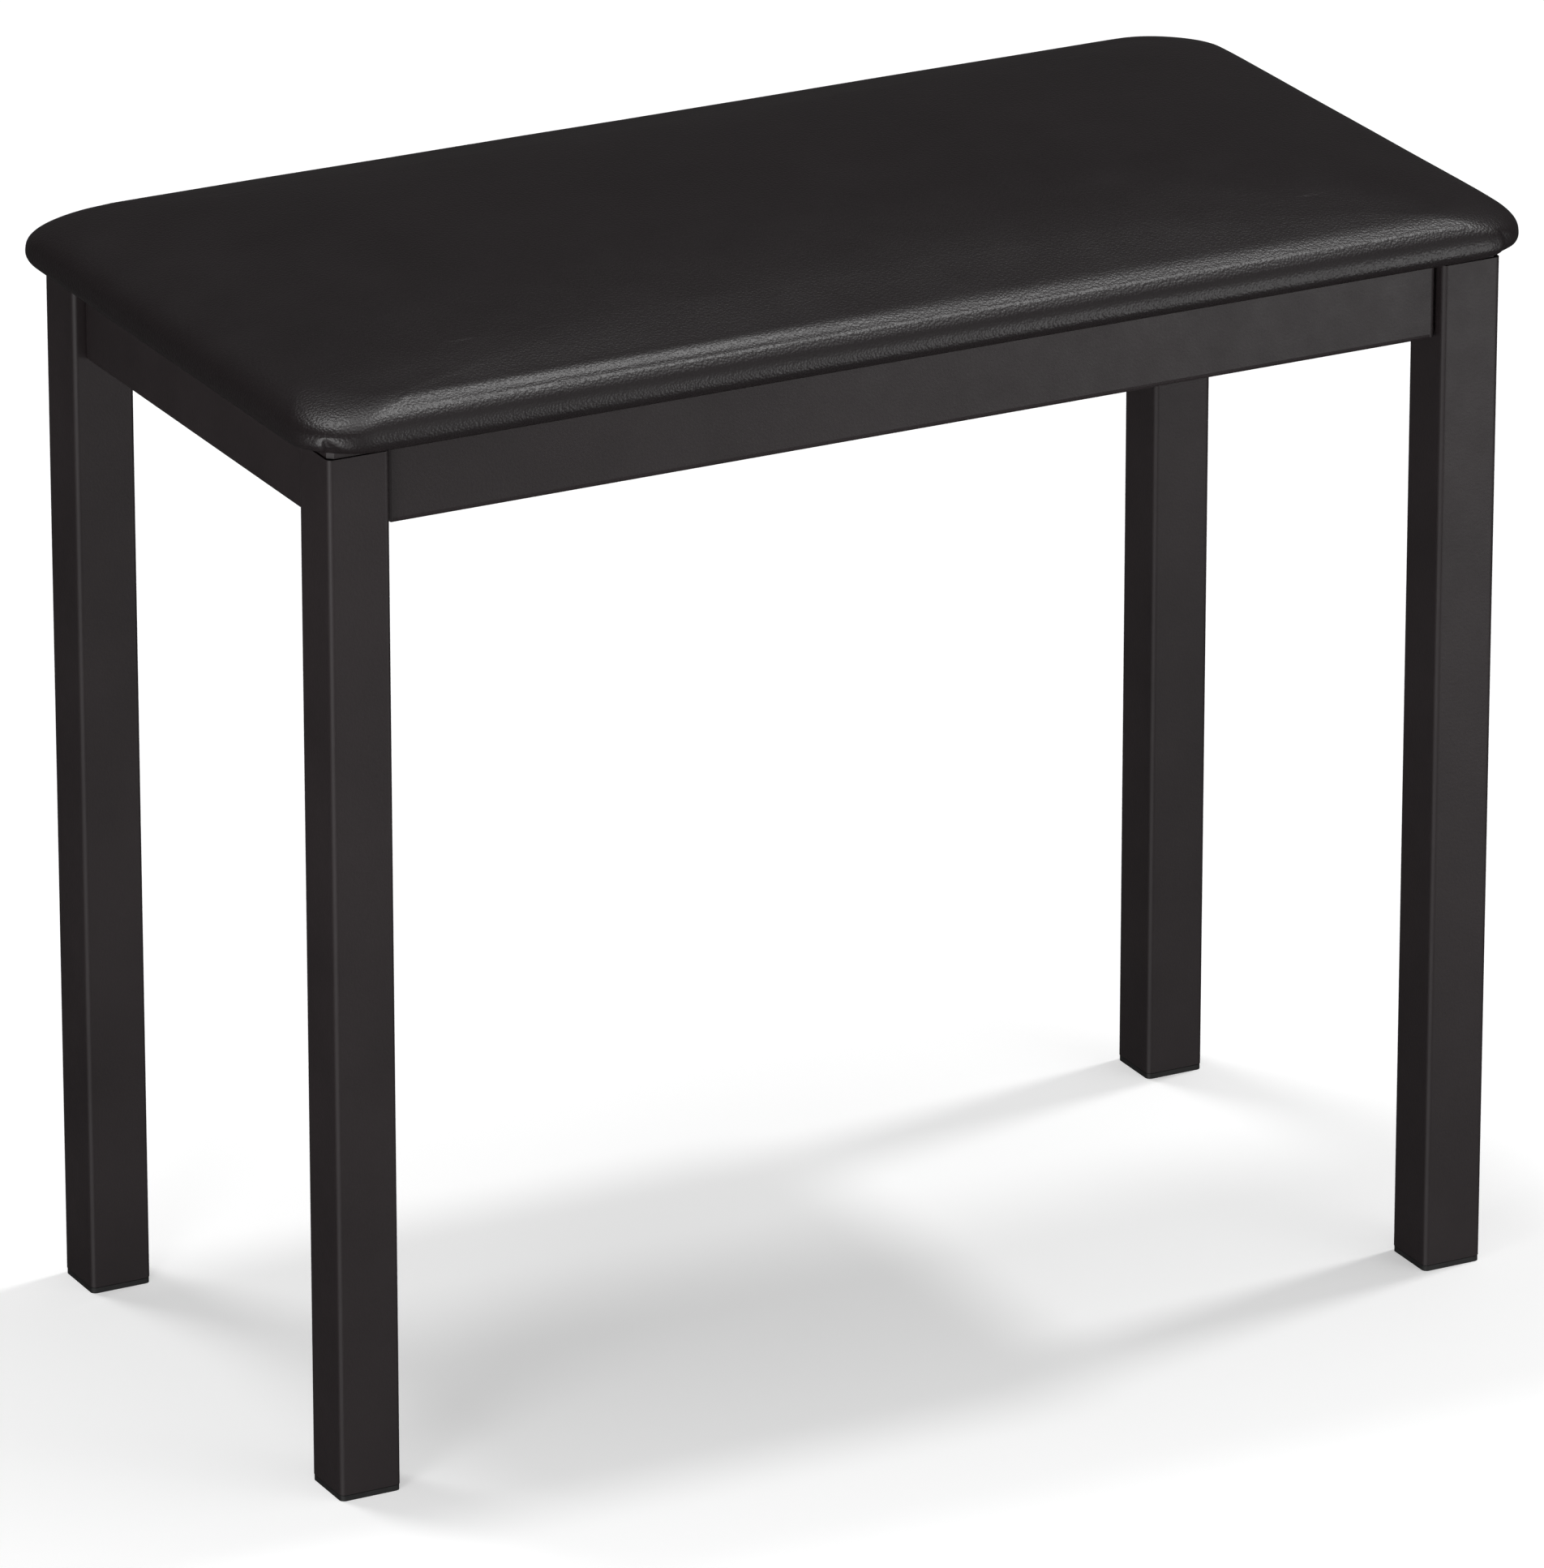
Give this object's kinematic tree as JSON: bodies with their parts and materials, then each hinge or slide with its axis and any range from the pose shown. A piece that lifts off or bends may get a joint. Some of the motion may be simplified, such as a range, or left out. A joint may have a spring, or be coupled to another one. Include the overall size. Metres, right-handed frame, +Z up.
{
  "type": "piano bench",
  "caption": "Fixed-height keyboard bench: rectangular padded black vinyl seat on square steel tube legs joined by folded steel rails.",
  "frame": {"origin": "on the floor, under the middle of the seat", "axes": "+X along the bench's long side, +Y from the front to the rear, +Z up"},
  "size_m": [0.576, 0.302, 0.5],
  "materials": {
    "black_paint": "satin powder coat",
    "black_vinyl": "satin, fine pebble grain",
    "black_plastic": "matte",
    "black_cloth": "non-woven, matte",
    "black_oxide": "black oxide",
    "zinc": "zinc plated",
    "plywood": "raw",
    "foam": "open-cell foam"
  },
  "bodies": {
    "root": {"leg_front_left": "black_paint", "foot_front_left": "black_plastic", "leg_plate_front_left": "black_paint", "long_rail_bolt_front_left": "black_oxide", "long_rail_weld_nut_front_left": "zinc", "side_rail_bolt_front_left": "black_oxide", "side_rail_weld_nut_front_left": "zinc", "seat_bolt_front_left": "black_oxide", "seat_washer_front_left": "zinc", "tee_nut_front_left": "zinc", "leg_front_right": "black_paint", "foot_front_right": "black_plastic", "leg_plate_front_right": "black_paint", "long_rail_bolt_front_right": "black_oxide", "long_rail_weld_nut_front_right": "zinc", "side_rail_bolt_front_right": "black_oxide", "side_rail_weld_nut_front_right": "zinc", "seat_bolt_front_right": "black_oxide", "seat_washer_front_right": "zinc", "tee_nut_front_right": "zinc", "leg_rear_left": "black_paint", "foot_rear_left": "black_plastic", "leg_plate_rear_left": "black_paint", "long_rail_bolt_rear_left": "black_oxide", "long_rail_weld_nut_rear_left": "zinc", "side_rail_bolt_rear_left": "black_oxide", "side_rail_weld_nut_rear_left": "zinc", "seat_bolt_rear_left": "black_oxide", "seat_washer_rear_left": "zinc", "tee_nut_rear_left": "zinc", "leg_rear_right": "black_paint", "foot_rear_right": "black_plastic", "leg_plate_rear_right": "black_paint", "long_rail_bolt_rear_right": "black_oxide", "long_rail_weld_nut_rear_right": "zinc", "side_rail_bolt_rear_right": "black_oxide", "side_rail_weld_nut_rear_right": "zinc", "seat_bolt_rear_right": "black_oxide", "seat_washer_rear_right": "zinc", "tee_nut_rear_right": "zinc", "rail_front": "black_paint", "rail_rear": "black_paint", "rail_left": "black_paint", "rail_right": "black_paint", "seat_cover": "black_vinyl", "seat_foam": "foam", "seat_board": "plywood", "dust_cover": "black_cloth"}
  },
  "joints": []
}
